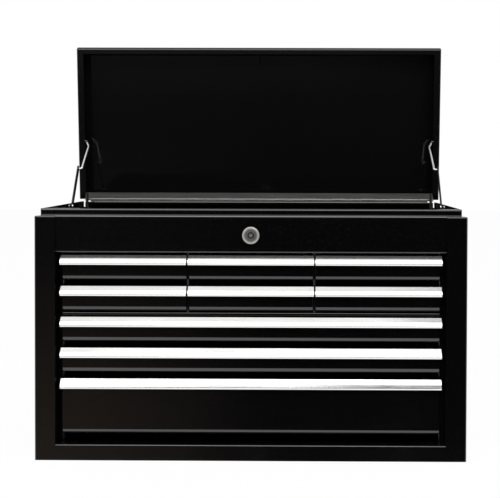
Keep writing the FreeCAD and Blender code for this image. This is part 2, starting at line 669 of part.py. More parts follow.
def drawer_tray(name, face_width, wall_reach, height, catches):
    """Tray in its own frame: the origin is the middle of the face's front, at its underside."""
    body = new_body(name)
    wall_top = f"({height} - wall_drop)"
    skin = [("face_return", height), ("0", height), ("0", "0", "face_bend")]
    floor = skin + [(DRAWER_REACH, "0"), (DRAWER_REACH, wall_top)]
    wing = skin + [("face_run_under", "0")]
    half_face = f"({face_width}) / 2"
    for path, reach in ((floor, wall_reach), (wing, half_face)):
        strip = sheet_outline(path, "drawer_gauge", 1, "fold_radius")
        extrude(body, "YZ_Plane", [strip], f"-{reach}", reach)
    wall = [("0", "0", "face_bend"), (DRAWER_REACH, "0"), (DRAWER_REACH, wall_top), ("0", wall_top)]
    flap = [("0", "0", "face_bend"), ("face_run_under", "0"), ("face_run_under", "face_bend")]
    flap += [("face_return", "face_bend"), ("face_return", height), ("0", height, "fold_radius")]
    for side in SIDES.values():
        extrude(body, "YZ_Plane", [wall], *sided(side, f"{wall_reach} - drawer_gauge", wall_reach))
        extrude(body, "YZ_Plane", [flap], *sided(side, f"{half_face} - drawer_gauge", half_face))
    start, end = f"{DRAWER_REACH} - drawer_gauge", f"{DRAWER_REACH} + catch_depth"
    slot_back = f"({ROD_BACK} - {FACE} - tooth_lead)"
    for middle in catches:
        catch = rectangle(f"{middle} - catch_width / 2", f"{middle} + catch_width / 2", start, end)
        extrude(body, "XY_Plane", [catch], f"{wall_top} - drawer_gauge", wall_top)
        slot = rectangle(
            f"{middle} - catch_slot_width / 2",
            f"{middle} + catch_slot_width / 2",
            f"{slot_back} - catch_slot_depth / 2",
            f"{slot_back} + catch_slot_depth / 2",
        )
        carve(body, "XY_Plane", [slot], f"{wall_top} - drawer_gauge - overrun", f"{wall_top} + overrun")
    return body


def drawer_trim(name, trim_width):
    """Bright pull along a drawer's top edge: two facets, a groove, a lip and a leg against the face."""
    body = new_body(name)
    nose, groove = "-trim_depth", "-trim_groove_drop"
    outline = [
        ("0", "0"),
        ("-trim_ridge_depth", "-trim_ridge_drop"),
        (nose, groove),
        (f"{nose} + trim_groove", f"{groove} - trim_groove"),
        (nose, f"{groove} - 2 * trim_groove"),
        (f"{nose} + trim_draw", "-trim_height"),
        (f"{nose} + trim_draw + trim_gauge", "-trim_height"),
        (f"{nose} + trim_gauge", groove),
        ("-trim_ridge_depth + trim_gauge", "-trim_ridge_drop - trim_gauge"),
        ("-trim_gauge", "-2 * trim_gauge"),
        ("-trim_gauge", "-trim_leg"),
        ("0", "-trim_leg"),
    ]
    half = f"({trim_width}) / 2"
    extrude(body, "YZ_Plane", [outline], f"-{half}", half)
    return body


drawer_number = 0
wide_trim = "(width - 2 * trim_inset)"
small_trim = f"(({wide_trim} - {SMALL_COLUMNS - 1} * trim_gap) / {SMALL_COLUMNS})"
tooth_places = []
for row in range(DRAWER_ROWS):
    small = row < SMALL_ROWS
    height = f"({row_top(row)} - {row_bottom(row)})"
    wall_reach = f"({carrier_reach(row)} - slide_space)"
    end_catch = f"({wall_reach} - catch_inset)"
    columns = drawer_columns(row)
    for column, middle in enumerate(columns):
        drawer_number += 1
        name = f"drawer_{drawer_number}"
        outer = column - (len(columns) - 1) / 2
        ends = [f"-{end_catch}", end_catch]
        catches = {-1: ends[:1], 0: ["0"], 1: ends[1:]}[outer] if small else ends
        body = drawer_tray(f"{name}_tray", SMALL_FACE if small else WIDE_FACE, wall_reach, height, catches)
        place(body, middle, FACE, row_bottom(row))
        tooth_places += [(f"{middle} + {catch}", f"({row_top(row)} - wall_drop)") for catch in catches]

        body = drawer_trim(f"{name}_trim", small_trim if small else wide_trim)
        trim_middle = f"({outer}) * ({small_trim} + trim_gap)"
        place(body, trim_middle, FACE, row_top(row))

        runners = new_body(f"{name}_runners")
        outlines = [slide_runner(f"{side} * {wall_reach}", side, "slide_centre") for side in SIDES.values()]
        low = f"({SLIDE_FRONT} - {FACE})"
        extrude(runners, "XZ_Plane", outlines, low, f"{low} + {SLIDE_LENGTH}")
        place(runners, middle, FACE, row_bottom(row))

# Piano hinge: two leaves whose knuckles take turns along one pin.
KNUCKLE_PITCH = f"(2 * {HINGE_HALF} / {KNUCKLES})"


def hinge_leaf(turn, leaf_back, leaf_up, tab_back):
    """A leaf in the hinge's own frame, with every second knuckle, starting from number turn."""
    pieces = [block((f"-{HINGE_HALF}", HINGE_HALF), leaf_back, leaf_up)]
    for number in range(turn, KNUCKLES, 2):
        low = f"{number - KNUCKLES / 2} * {KNUCKLE_PITCH} + knuckle_play / 2"
        high = f"{number + 1 - KNUCKLES / 2} * {KNUCKLE_PITCH} - knuckle_play / 2"
        pieces.append(round_bar("x", "barrel_radius", low, high, ("0", "0")))
        pieces.append(block((low, high), tab_back, leaf_up))
    bore = round_bar("x", "hinge_pin_radius + pin_play", f"-{HINGE_HALF}", HINGE_HALF, ("0", "0"))
    return cut(fuse(pieces), bore)


LEAF_EDGE = "(-barrel_radius - leaf_play)"
leaf_up = ("-barrel_radius", "-barrel_radius + leaf_gauge")
cabinet_leaf = hinge_leaf(0, ("-back_hem + back_lip_radius", LEAF_EDGE), leaf_up, (LEAF_EDGE, "0"))
keep("cabinet_hinge_leaf", cabinet_leaf)
place(cabinet_leaf, "0", REAR, HINGE_UP)
pin = round_bar("x", "hinge_pin_radius", f"-{HINGE_HALF}", HINGE_HALF, (REAR, HINGE_UP))
keep("hinge_pin", pin)
leaf_up = ("barrel_radius - leaf_gauge", "barrel_radius")
lid_leaf = hinge_leaf(1, ("-lid_return", LEAF_EDGE), leaf_up, (LEAF_EDGE, "0"))
keep("lid_hinge_leaf", lid_leaf)

# Lid: drawn closed, from the hinge line, and then stood open.
RIM = "(collar_rise + rim_play - hinge_rise)"
LID_REACH = "(depth - lid_setback)"
lid = new_body("lid_panel")
lid_side = [
    (f"-{LID_REACH}", RIM, "lid_rim_radius"),
    ("0", RIM),
    ("0", "lid_rise", "lid_edge_radius"),
    (f"-{LID_REACH}", "lid_rise", "lid_edge_radius"),
]
slab = extrude(lid, "YZ_Plane", [lid_side], f"-{HALF}", HALF)
document.recompute()
end_edges = []
for index, edge in enumerate(slab.Shape.Edges, start=1):
    if edge.BoundBox.XLength < size("gauge"):
        end_edges.append(f"Edge{index}")
lid_rounding = lid.newObject("PartDesign::Fillet", "rounding")
lid_rounding.Base = (slab, end_edges)
bind(lid_rounding, "Radius", "lid_side_radius")
hollow = [
    (f"-{LID_REACH} + gauge", f"{RIM} + gauge", "lid_rim_radius - gauge"),
    ("-gauge", f"{RIM} + gauge"),
    ("-gauge", "lid_rise - gauge", "lid_edge_radius - gauge"),
    (f"-{LID_REACH} + gauge", "lid_rise - gauge", "lid_edge_radius - gauge"),
]
carve(lid, "YZ_Plane", [hollow], f"-{INNER}", INNER)
LID_MOUTH = f"({HALF} - lid_return)"
mouth = rectangle(f"-{LID_MOUTH}", LID_MOUTH, f"-{LID_REACH} + lid_return", "-lid_flange_end / 2")
carve(lid, "XY_Plane", [mouth], f"{RIM} - overrun", f"{RIM} + gauge + overrun")
behind = rectangle(f"-{INNER}", INNER, "-lid_flange_end", "overrun")
carve(lid, "XY_Plane", [behind], f"{RIM} - overrun", "barrel_radius")
rear_flange = rectangle(f"-{INNER}", INNER, "-lid_return", "-gauge")
extrude(lid, "XY_Plane", [rear_flange], "barrel_radius", "barrel_radius + gauge")
EAR_BACK = "-stay_lid_reach"
for side in SIDES.values():
    ear = [
        (f"{EAR_BACK} - ear_width / 2", RIM),
        (f"{EAR_BACK} + ear_width / 2", RIM),
        (f"{EAR_BACK} + ear_width / 2", f"{RIM} + ear_depth", "fold_radius"),
        (f"{EAR_BACK} - ear_width / 2", f"{RIM} + ear_depth", "fold_radius"),
    ]
    reach = sided(side, LID_MOUTH, f"{LID_MOUTH} + gauge")
    extrude(lid, "YZ_Plane", [ear], *reach)
    ear_hole = (EAR_BACK, "stay_lid_rise", "wire_radius + pin_play")
    carve(lid, "YZ_Plane", [ear_hole], *reach)

# Striker: a plate inside the lid's front that drops behind the header; the cam's claw enters its window.
CAM_FRONT = f"({HEADER_FACE} + housing_length)"
LOCK_UP = f"({LOCK_HEIGHT} - {HINGE_UP})"
WINDOW = f"({CAM_FRONT} - {REAR} - window_play)"
striker_front = f"({WINDOW} - striker_lead - (striker_width - cam_gauge - 2 * window_play) / 2)"
striker = new_body("lid_striker")
window_low, window_high = f"({LOCK_UP} + claw_inner - window_play)", f"({LOCK_UP} + claw_outer + window_play)"
striker_back = f"{striker_front} + striker_width"
plate = rectangle(striker_front, striker_back, f"{window_low} - striker_tip", "lid_rise - gauge")
extrude(striker, "YZ_Plane", [plate], "-striker_gauge / 2", "striker_gauge / 2")
window = rectangle(WINDOW, f"{WINDOW} + cam_gauge + 2 * window_play", window_low, window_high)
carve(striker, "YZ_Plane", [window], "-striker_gauge / 2 - overrun", "striker_gauge / 2 + overrun")

# Lock: a housing with its front ring, a nut behind the header, the key plug, and the cam on the plug's tail.
RING_FRONT = f"({HEADER_FACE} - escutcheon_depth)"
LOCK_SPOT = ("0", LOCK_HEIGHT)
housing = new_body("lock_housing")
barrel = (*LOCK_SPOT, "housing_radius")
extrude(housing, "XZ_Plane", [barrel], f"{HEADER_FACE} - escutcheon_depth / 2", CAM_FRONT)
ring = extrude(housing, "XZ_Plane", [(*LOCK_SPOT, "escutcheon_radius")], RING_FRONT, HEADER_FACE)
document.recompute()
ring_edges = []
for index, edge in enumerate(ring.Shape.Edges, start=1):
    at_front = abs(edge.BoundBox.YMax - size(RING_FRONT)) < size("pin_play")
    if at_front and edge.BoundBox.XMax > size("housing_radius + housing_play"):
        ring_edges.append(f"Edge{index}")
rounding = housing.newObject("PartDesign::Fillet", "rounding")
rounding.Base = (ring, ring_edges)
bind(rounding, "Radius", "escutcheon_round")
plug_bore = (*LOCK_SPOT, "plug_radius + pin_play")
carve(housing, "XZ_Plane", [plug_bore], f"{RING_FRONT} - overrun", f"{CAM_FRONT} + overrun")

nut = new_body("lock_nut")
NUT_CORNER = "nut_across / sqrt(3)"
hexagon = [(f"{NUT_CORNER} * ({math.cos(math.radians(60 * i)):.6f})",
            f"{LOCK_HEIGHT} + {NUT_CORNER} * ({math.sin(math.radians(60 * i)):.6f})") for i in range(6)]
extrude(nut, "XZ_Plane", [hexagon], f"{HEADER_FACE} + gauge", f"{HEADER_FACE} + gauge + nut_depth")
nut_bore = (*LOCK_SPOT, "housing_radius + pin_play")
carve(nut, "XZ_Plane", [nut_bore], HEADER_FACE, f"{HEADER_FACE} + gauge + nut_depth + overrun")

plug = new_body("lock_plug")
PLUG_FRONT = f"({RING_FRONT} + plug_recess)"
TAIL = "plug_radius / sqrt(2) - pin_play"
extrude(plug, "XZ_Plane", [(*LOCK_SPOT, "plug_radius")], PLUG_FRONT, CAM_FRONT)
tail_square = rectangle(f"-({TAIL})", TAIL, f"{LOCK_HEIGHT} - ({TAIL})", f"{LOCK_HEIGHT} + {TAIL}")
extrude(plug, "XZ_Plane", [tail_square], CAM_FRONT, f"{CAM_FRONT} + cam_gauge")
cam_nut = (*LOCK_SPOT, "cam_nut_radius")
extrude(plug, "XZ_Plane", [cam_nut], f"{CAM_FRONT} + cam_gauge", f"{CAM_FRONT} + cam_gauge + cam_nut_depth")
keyway = [(*LOCK_SPOT, "keyway_outer"), (*LOCK_SPOT, "keyway_inner")]
carve(plug, "XZ_Plane", keyway, f"{PLUG_FRONT} - overrun", f"{PLUG_FRONT} + keyway_depth")
notch_up = (f"{LOCK_HEIGHT} + keyway_inner", f"{LOCK_HEIGHT} + keyway_outer + key_notch / 2")
notch = rectangle("-key_notch / 2", "key_notch / 2", *notch_up)
carve(plug, "XZ_Plane", [notch], f"{PLUG_FRONT} - overrun", f"{PLUG_FRONT} + keyway_depth")

cam_spot = ("0", "0")
claw_ring = round_bar("y", "claw_outer", "0", "cam_gauge", cam_spot)
claw_ring.Placement.Rotation = FreeCAD.Rotation(FreeCAD.Vector(0, 1, 0), -size("claw_sweep")) * TURNS["y"]
bind(claw_ring, "Angle", "claw_sweep")
claw = cut(claw_ring, round_bar("y", "claw_inner", "-overrun", "cam_gauge + overrun", cam_spot))
hub = round_bar("y", "cam_hub", "0", "cam_gauge", cam_spot)
arm = block(("0", "claw_inner + cam_arm / 2"), ("0", "cam_gauge"), ("0", "cam_arm"))
cam_blank = fuse([claw, hub, arm])
turned = size("claw_sweep - claw_lead")
cam_blank.Placement = FreeCAD.Placement(FreeCAD.Vector(), FreeCAD.Rotation(FreeCAD.Vector(0, 1, 0), turned))
cam_square = (f"-({TAIL})", TAIL)
cam = keep("lock_cam", cut(cam_blank, block(cam_square, ("-overrun", "cam_gauge + overrun"), cam_square)))
place(cam, "0", CAM_FRONT, LOCK_HEIGHT)

# Lid stays: a bent wire from the lid meets a strap from the side panel; the pair folds as the lid closes.
HINGE = FreeCAD.Vector(0, size(REAR), size(HINGE_UP))
OPEN = size("lid_open_angle")
LID_PLACE = FreeCAD.Placement(HINGE, FreeCAD.Rotation(FreeCAD.Vector(1, 0, 0), -OPEN))
for name in ("lid_panel", "lid_striker", "lid_hinge_leaf"):
    sub_parts[name].Placement = LID_PLACE

upper_pivot = LID_PLACE.multVec(FreeCAD.Vector(0, -size("stay_lid_reach"), size("stay_lid_rise")))
lower_pivot = HINGE + FreeCAD.Vector(0, -size("stay_foot_reach"), -size("stay_foot_drop"))
between = upper_pivot - lower_pivot
wire, strap = size("wire_length"), size("strap_length")
along = (strap**2 - wire**2 + between.Length**2) / (2 * between.Length)
aside = math.sqrt(max(strap**2 - along**2, 0))
unit = between * (1 / between.Length)
middle_pivot = lower_pivot + unit * along + FreeCAD.Vector(0, -unit.z, unit.y) * aside


def lean(start, end):
    """Turn about X that takes straight up to the way from start to end."""
    return math.degrees(math.atan2(-(end.y - start.y), end.z - start.z))


def stand(thing, spot, angle):
    """Set a piece that was drawn upright down at a spot, leaning by an angle."""
    thing.Placement = FreeCAD.Placement(spot, FreeCAD.Rotation(FreeCAD.Vector(1, 0, 0), angle))


STRAP_OUT = f"({COLLAR} - gauge - strap_play)"
STRAP_IN = f"({STRAP_OUT} - strap_gauge)"
STAY_ACROSS = f"({HALF} - stay_inset)"
for hand, side in SIDES.items():
    wire_body = new_body(f"{hand}_stay_wire")
    stub, pivot = f"{LID_MOUTH} + gauge + wire_radius", f"{STRAP_IN} - slide_play"
    route = [
        (stub, "0"),
        (STAY_ACROSS, "0", "wire_bend"),
        (f"{STAY_ACROSS} - stay_knee_inset", "-stay_knee_drop", "wire_bend"),
        (f"{STAY_ACROSS} - stay_knee_inset / 2", "-wire_length", "wire_bend"),
        (pivot, "-wire_length"),
    ]
    spine = new_sketch(wire_body, "XZ_Plane")
    draw_outline(spine, [(f"{side} * ({point[0]})", *point[1:]) for point in route], closed=False)
    section = new_sketch(wire_body, "YZ_Plane", f"{side} * ({stub})")
    draw_circle(section, "0", "0", "wire_radius")
    pipe = wire_body.newObject("PartDesign::AdditivePipe", "pipe")
    pipe.Profile = (section, [""])
    pipe.Spine = (spine, [""])
    stand(wire_body, upper_pivot, lean(middle_pivot, upper_pivot))

    strap_body = new_body(f"{hand}_stay_strap")
    half_strap, tip = "strap_width / 2", "strap_length + strap_width / 2"
    outline = [
        (f"-{half_strap}", f"-{half_strap}", f"{half_strap} - pin_play"),
        (half_strap, f"-{half_strap}", f"{half_strap} - pin_play"),
        (half_strap, tip, f"{half_strap} - pin_play"),
        (f"-{half_strap}", tip, f"{half_strap} - pin_play"),
    ]
    reach = sided(side, STRAP_IN, STRAP_OUT)
    extrude(strap_body, "YZ_Plane", [outline], *reach)
    carve(strap_body, "YZ_Plane", [("0", "0", "rivet_radius + pin_play")], *reach)
    stand(strap_body, lower_pivot, lean(lower_pivot, middle_pivot))

FOOT_BACK = f"({REAR} - stay_foot_reach)"
FOOT_UP = f"({HINGE_UP} - stay_foot_drop)"
foot_rivets = []
for hand, side in SIDES.items():
    head = f"({STRAP_IN} - slide_play)"
    stretches = [
        ("rivet_radius", head, COLLAR),
        ("rivet_head_radius", f"{head} - rivet_head_depth", head),
        ("rivet_head_radius", COLLAR, f"{COLLAR} + rivet_head_depth"),
    ]
    foot = (FOOT_BACK, FOOT_UP)
    bars = [round_bar("x", wide, *sided(side, near, far), foot) for wide, near, far in stretches]
    foot_rivets.append(fuse(bars))
    through = sided(side, f"{COLLAR} - gauge - overrun", f"{COLLAR} + overrun")
    carve(sub_parts[f"{hand}_side_panel"], "YZ_Plane", [(*foot, "rivet_radius")], *through)
keep("stay_foot_rivets", group(foot_rivets))

# Drawer lock: the closing lid presses two rods down, and a tooth drops into each drawer's rear catch.
TOOTH_PLANE = f"({ROD_BACK} - tooth_lead)"
TOOTH_BACK = (f"{TOOTH_PLANE} - tooth_gauge / 2", f"{TOOTH_PLANE} + tooth_gauge / 2")
BAR_TOP = f"({TILL_UNDERSIDE} - cross_bar_drop)"
frame_bars = [block((f"-{ROD_ACROSS}", ROD_ACROSS), TOOTH_BACK, (f"{BAR_TOP} - cross_bar_height", BAR_TOP))]
ROD_TOP = f"({HINGE_UP} + lock_rod_rise)"
RING_UP = "(guide_height + spring_length)"
for side in SIDES.values():
    spot = (f"{side} * {ROD_ACROSS}", ROD_BACK)
    frame_bars.append(round_bar("z", "lock_rod_radius", "lock_rod_bottom", ROD_TOP, spot))
    frame_bars.append(round_bar("z", "collar_ring_radius", RING_UP, f"{RING_UP} + collar_ring_depth", spot))
middle_teeth = []
for across, catch_top in tooth_places:
    tooth_low = f"{catch_top} + tooth_clearance"
    arm_low = f"({tooth_low} + tooth_height)"
    tooth_span = (f"{across} - tooth_width / 2", f"{across} + tooth_width / 2")
    frame_bars.append(block(tooth_span, TOOTH_BACK, (tooth_low, f"{arm_low} + tooth_arm / 2")))
    if size(across) == 0:
        middle_teeth.append(arm_low)
    elif size(arm_low) < size(f"{BAR_TOP} - cross_bar_height - tooth_arm"):
        arm_span = (tooth_span[0], ROD_ACROSS) if size(across) > 0 else (f"-{ROD_ACROSS}", tooth_span[1])
        frame_bars.append(block(arm_span, TOOTH_BACK, (arm_low, f"{arm_low} + tooth_arm")))
STRIP_BACK = (f"{FACE} + {DRAWER_REACH} + catch_depth + leaf_play", f"{REAR} - 3 * gauge - strap_play / 2")
strip_low = middle_teeth[-1]
half_tooth = ("-tooth_width / 2", "tooth_width / 2")
frame_bars.append(block(half_tooth, STRIP_BACK, (strip_low, BAR_TOP)))
bridge_back = (TOOTH_BACK[0], STRIP_BACK[1])
frame_bars.append(block(half_tooth, bridge_back, (f"{BAR_TOP} - cross_bar_height", BAR_TOP)))
frame_bars.append(block(half_tooth, bridge_back, (strip_low, f"{strip_low} + tooth_arm")))
keep("drawer_lock_frame", fuse(frame_bars))

guides = []
springs = []
for side in SIDES.values():
    spot = (f"{side} * {ROD_ACROSS}", ROD_BACK)
    tube = round_bar("z", "guide_radius", "gauge", "guide_height", spot)
    bore = round_bar("z", "lock_rod_radius + pin_play", "0", "guide_height + overrun", spot)
    guides.append(cut(tube, bore))
    coil = document.addObject("Part::Helix", "coil")
    bind(coil, "Radius", "spring_radius")
    bind(coil, "Pitch", "spring_pitch")
    bind(coil, "Height", "spring_length - 2 * spring_wire")
    bead = document.addObject("Part::Circle", "bead")
    bead.Placement = FreeCAD.Placement(FreeCAD.Vector(), FreeCAD.Rotation(FreeCAD.Vector(1, 0, 0), 90))
    bind(bead, "Radius", "spring_wire")
    bind(bead, "Placement.Base.x", "spring_radius")
    spring = document.addObject("Part::Sweep", "spring")
    spring.Sections = [bead]
    spring.Spine = (coil, [])
    spring.Solid = True
    spring.Frenet = True
    place(spring, *spot, "guide_height + spring_wire")
    springs.append(spring)
keep("lock_rod_guides", group(guides))
keep("lock_return_springs", group(springs))

# Side handles: a bracket with two ears on each side panel, and a wire bail with a moulded grip.
EAR_INNER = "(handle_span / 2)"
PIVOT_ACROSS = f"({HALF} + handle_standoff)"
PIVOT_UP = "(post_height - handle_low)"
brackets = []
for hand, side in SIDES.items():
    half_plate = f"({EAR_INNER} + bracket_gauge + bracket_lap)"
    plate_up = (f"{PIVOT_UP} - bracket_height / 2", f"{PIVOT_UP} + bracket_height / 2")
    metal = [block(sided(side, HALF, f"{HALF} + bracket_gauge"), (f"-{half_plate}", half_plate), plate_up)]
    bores = []
    for end in SIDES.values():
        ear_back = sided(end, EAR_INNER, f"{EAR_INNER} + bracket_gauge")
        ear_up = (f"{PIVOT_UP} - handle_standoff", f"{PIVOT_UP} + handle_standoff")
        metal.append(block(sided(side, HALF, f"{HALF} + bracket_ear"), ear_back, ear_up))
        pivot_spot = (f"{side} * {PIVOT_ACROSS}", PIVOT_UP)
        low, high = sided(end, f"{EAR_INNER} - overrun", f"{EAR_INNER} + bracket_gauge + overrun")
        bores.append(round_bar("y", "handle_wire + pin_play", low, high, pivot_spot))
        rivet_back = f"{end} * ({half_plate} - bracket_lap / 2)"
        rivet_reach = sided(side, HALF, f"{HALF} + bracket_gauge + bracket_rivet_depth")
        metal.append(round_bar("x", "bracket_rivet", *rivet_reach, (rivet_back, PIVOT_UP)))
    brackets.append(cut(fuse(metal), fuse(bores)))

    bail = new_body(f"{hand}_handle_bail")
    leg = f"({EAR_INNER} - handle_turn)"
    tip = f"({EAR_INNER} + bracket_gauge)"
    route = [
        (f"-{tip}", "0"),
        (f"-{leg}", "0", "handle_turn"),
        (f"-{leg}", "-handle_drop", "handle_bend"),
        (leg, "-handle_drop", "handle_bend"),
        (leg, "0", "handle_turn"),
        (tip, "0"),
    ]
    spine = new_sketch(bail, "YZ_Plane")
    draw_outline(spine, route, closed=False)
    section = new_sketch(bail, "XZ_Plane", tip)
    draw_circle(section, "0", "0", "handle_wire")
    pipe = bail.newObject("PartDesign::AdditivePipe", "pipe")
    pipe.Profile = (section, [""])
    pipe.Spine = (spine, [""])
    extrude(bail, "XZ_Plane", [("0", "-handle_drop", "grip_radius")], "-grip_length / 2", "grip_length / 2")
    place(bail, f"{side} * {PIVOT_ACROSS}", "0", PIVOT_UP)
keep("handle_brackets", group(brackets))

# Check every object, then write each sub-part to its file.
document.recompute()
for thing in document.Objects:
    if "Invalid" in thing.State or "Error" in thing.State:
        raise RuntimeError(f"{thing.Name} in {thing.Label} failed: {thing.State}")
os.makedirs("parts", exist_ok=True)
for name, thing in sub_parts.items():
    if thing.Shape.isNull() or not thing.Shape.isValid():
        raise RuntimeError(f"{name} has no valid shape")
    thing.Shape.exportStep(f"parts/{name}.step")
    print(f"{name}: {len(thing.Shape.Solids)} solids, {thing.Shape.Volume / 1000:.2f} cm3")
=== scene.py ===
import math

import bmesh
import bpy
from mathutils import Matrix, Vector


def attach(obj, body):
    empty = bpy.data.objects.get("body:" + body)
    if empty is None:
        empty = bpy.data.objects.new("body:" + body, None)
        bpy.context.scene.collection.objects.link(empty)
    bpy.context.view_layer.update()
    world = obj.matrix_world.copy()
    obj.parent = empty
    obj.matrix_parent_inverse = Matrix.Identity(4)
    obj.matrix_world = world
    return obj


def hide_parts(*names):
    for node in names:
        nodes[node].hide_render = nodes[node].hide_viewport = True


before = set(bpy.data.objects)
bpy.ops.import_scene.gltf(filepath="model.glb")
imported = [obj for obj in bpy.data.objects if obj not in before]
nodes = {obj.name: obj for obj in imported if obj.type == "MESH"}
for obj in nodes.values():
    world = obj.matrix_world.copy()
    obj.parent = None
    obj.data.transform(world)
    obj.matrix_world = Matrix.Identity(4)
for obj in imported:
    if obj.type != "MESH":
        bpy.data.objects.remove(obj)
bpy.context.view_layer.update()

# The studio: a seamless white floor, a broad softbox high in front and another overhead, and two cards that
# only mirrors see. The gloss black panels mirror a dim wall behind the camera, a little lighter and warmer on
# the left, and the trims mirror a pale ceiling.


class Signal:
    """A socket of a node tree. Sums and products of signals add the Math nodes that work them out."""

    def __init__(self, tree, socket=None):
        self.tree = tree
        self.socket = socket

    def node(self, kind, settings=None, sockets=None, output=0):
        """Add a node: its settings first, a ramp's stops among them, then its sockets' values or links."""
        made = self.tree.nodes.new(kind)
        for name, value in (settings or {}).items():
            if name == "stops":
                stops = made.color_ramp.elements
                for index, (place, shade) in enumerate(value):
                    stop = stops[index] if index < 2 else stops.new(place)
                    stop.position = place
                    stop.color = shade
            else:
                setattr(made, name, value)
        for name, value in (sockets or {}).items():
            if isinstance(value, Signal):
                self.tree.links.new(value.socket, made.inputs[name])
            else:
                made.inputs[name].default_value = value
        return Signal(self.tree, made.outputs[output] if made.outputs else None)

    def __add__(self, other):
        return self.node("ShaderNodeMath", {"operation": "ADD"}, {0: self, 1: other})

    def __mul__(self, other):
        return self.node("ShaderNodeMath", {"operation": "MULTIPLY"}, {0: self, 1: other})

    __radd__ = __add__
    __rmul__ = __mul__


def fresh_tree(owner):
    """Empty an owner's node tree, and return a signal that adds nodes to it."""
    owner.use_nodes = True
    owner.node_tree.nodes.clear()
    return Signal(owner.node_tree)


def seen_rays(start):
    """1 for camera, mirror and glass rays, and 0 for the light that falls on things."""
    camera, mirror, glass = (start.node("ShaderNodeLightPath", output=name)
                             for name in ("Is Camera Ray", "Is Glossy Ray", "Is Transmission Ray"))
    return start.node("ShaderNodeClamp", {}, {"Value": camera + mirror + glass})


FILL_LIGHT = 0.4
world = bpy.data.worlds.new("studio_air")
bpy.context.scene.world = world
air = fresh_tree(world)
fill = air.node("ShaderNodeBackground", {}, {"Color": (1, 1, 1, 1), "Strength": FILL_LIGHT})
white = air.node("ShaderNodeBackground", {}, {"Color": (1, 1, 1, 1), "Strength": 1.0})
backdrop = air.node("ShaderNodeMixShader", {}, {0: seen_rays(air), 1: fill, 2: white})
air.node("ShaderNodeOutputWorld", {}, {"Surface": backdrop})


def linked(name, data):
    """A new object in the scene, made of a mesh, a curve, a lamp or a camera."""
    thing = bpy.data.objects.new(name, data)
    bpy.context.scene.collection.objects.link(thing)
    return thing


def finish_signal(name):
    """A new material, and a signal that adds nodes to it."""
    material = bpy.data.materials.new(name)
    return material, fresh_tree(material)


def flat_sheet(name, width, depth):
    """A flat rectangle about the origin, facing up."""
    mesh = bpy.data.meshes.new(name)
    x, y = width / 2, depth / 2
    mesh.from_pydata([(-x, -y, 0), (x, -y, 0), (x, y, 0), (-x, y, 0)], [], [(0, 1, 2, 3)])
    return linked(name, mesh)


FLOOR_SIZE = 14
PAPER_GLOW = 1.05
PAPER_GLOW_SHARE = 0.9
floor = flat_sheet("studio_floor", FLOOR_SIZE, FLOOR_SIZE)
floor_paper, start = finish_signal("seamless_paper")
matt = start.node("ShaderNodeBsdfDiffuse", {}, {"Color": (0.86, 0.86, 0.86, 1)})
glow = start.node("ShaderNodeEmission", {}, {"Color": (1, 1, 1, 1), "Strength": PAPER_GLOW})
share = seen_rays(start) * PAPER_GLOW_SHARE
paper_look = start.node("ShaderNodeMixShader", {}, {0: share, 1: matt, 2: glow})
start.node("ShaderNodeOutputMaterial", {}, {"Surface": paper_look})
floor.data.materials.append(floor_paper)
floor.visible_glossy = False


def surface_spot(start):
    """Where on the object a point is, in metres."""
    return start.node("ShaderNodeTexCoord", output="Object")


def blended(mask, first, second):
    """One colour where the mask is 0 and another where it is 1."""
    return mask.node("ShaderNodeMix", {"data_type": "RGBA"}, {0: mask, 6: first, 7: second}, 2)


def card_share(start, axis, low, high):
    """How far a point lies along one axis of its card, 0 before the low place and 1 past the high one."""
    place = start.node("ShaderNodeSeparateXYZ", {}, {"Vector": surface_spot(start)}, output=axis)
    return start.node("ShaderNodeMapRange", {}, {"Value": place, "From Min": low, "From Max": high})


def painted_card(start, colour):
    """Finish a card's material: it glows in its own colour."""
    glow = start.node("ShaderNodeEmission", {}, {"Color": colour, "Strength": 1.0})
    start.node("ShaderNodeOutputMaterial", {}, {"Surface": glow})


dark_room, start = finish_signal("dark_room")
left_side = blended(card_share(start, "Y", -2.1, -0.9), (0.13, 0.100, 0.08, 1), (0.018, 0.018, 0.018, 1))
below = blended(card_share(start, "X", -1.25, -0.1), left_side, (0.002, 0.002, 0.004, 1))
above = blended(card_share(start, "X", 0.1, 1.2), (0.11, 0.11, 0.118, 1), (0.006, 0.006, 0.008, 1))
painted_card(start, blended(card_share(start, "Y", -0.6, -0.2), below, above))

pale_ceiling, start = finish_signal("pale_ceiling")
shade = blended(card_share(start, "X", 0.45, 0.85), (0.74, 0.74, 0.73, 1), (0.26, 0.27, 0.29, 1))
painted_card(start, shade)


def mirrored_card(name, width, depth, spot, tilt, paint):
    """A glowing sheet that only mirrors see, turned up from the floor by a tilt in degrees."""
    card = flat_sheet(name, width, depth)
    card.location = spot
    card.rotation_euler = (math.radians(tilt), 0, 0)
    card.visible_camera = False
    card.visible_diffuse = False
    card.visible_shadow = False
    card.data.materials.append(paint)


mirrored_card("dark_room", width=9, depth=4.9, spot=(0, -4.2, 0.85), tilt=90, paint=dark_room)
mirrored_card("pale_ceiling", width=6, depth=2.3, spot=(0, -0.3, 2.75), tilt=0, paint=pale_ceiling)


def softbox(name, spot, target, width, height, brightness):
    """An area lamp of a set brightness to look at, aimed at a target and hidden from the camera."""
    lamp = bpy.data.lights.new(name, "AREA")
    lamp.shape = "RECTANGLE"
    lamp.size = width
    lamp.size_y = height
    lamp.energy = brightness * width * height * math.pi
    holder = linked(name, lamp)
    holder.location = spot
    holder.rotation_euler = (Vector(target) - Vector(spot)).to_track_quat("-Z", "Y").to_euler()
    holder.visible_camera = False


softbox("front_softbox", (0.2, -1.9, 2.3), target=(0, 0, 0.35), width=3.2, height=1.4, brightness=2.6)
softbox("overhead_softbox", (0, -0.45, 2.6), target=(0, -0.1, 0.3), width=3.0, height=1.7, brightness=0.08)

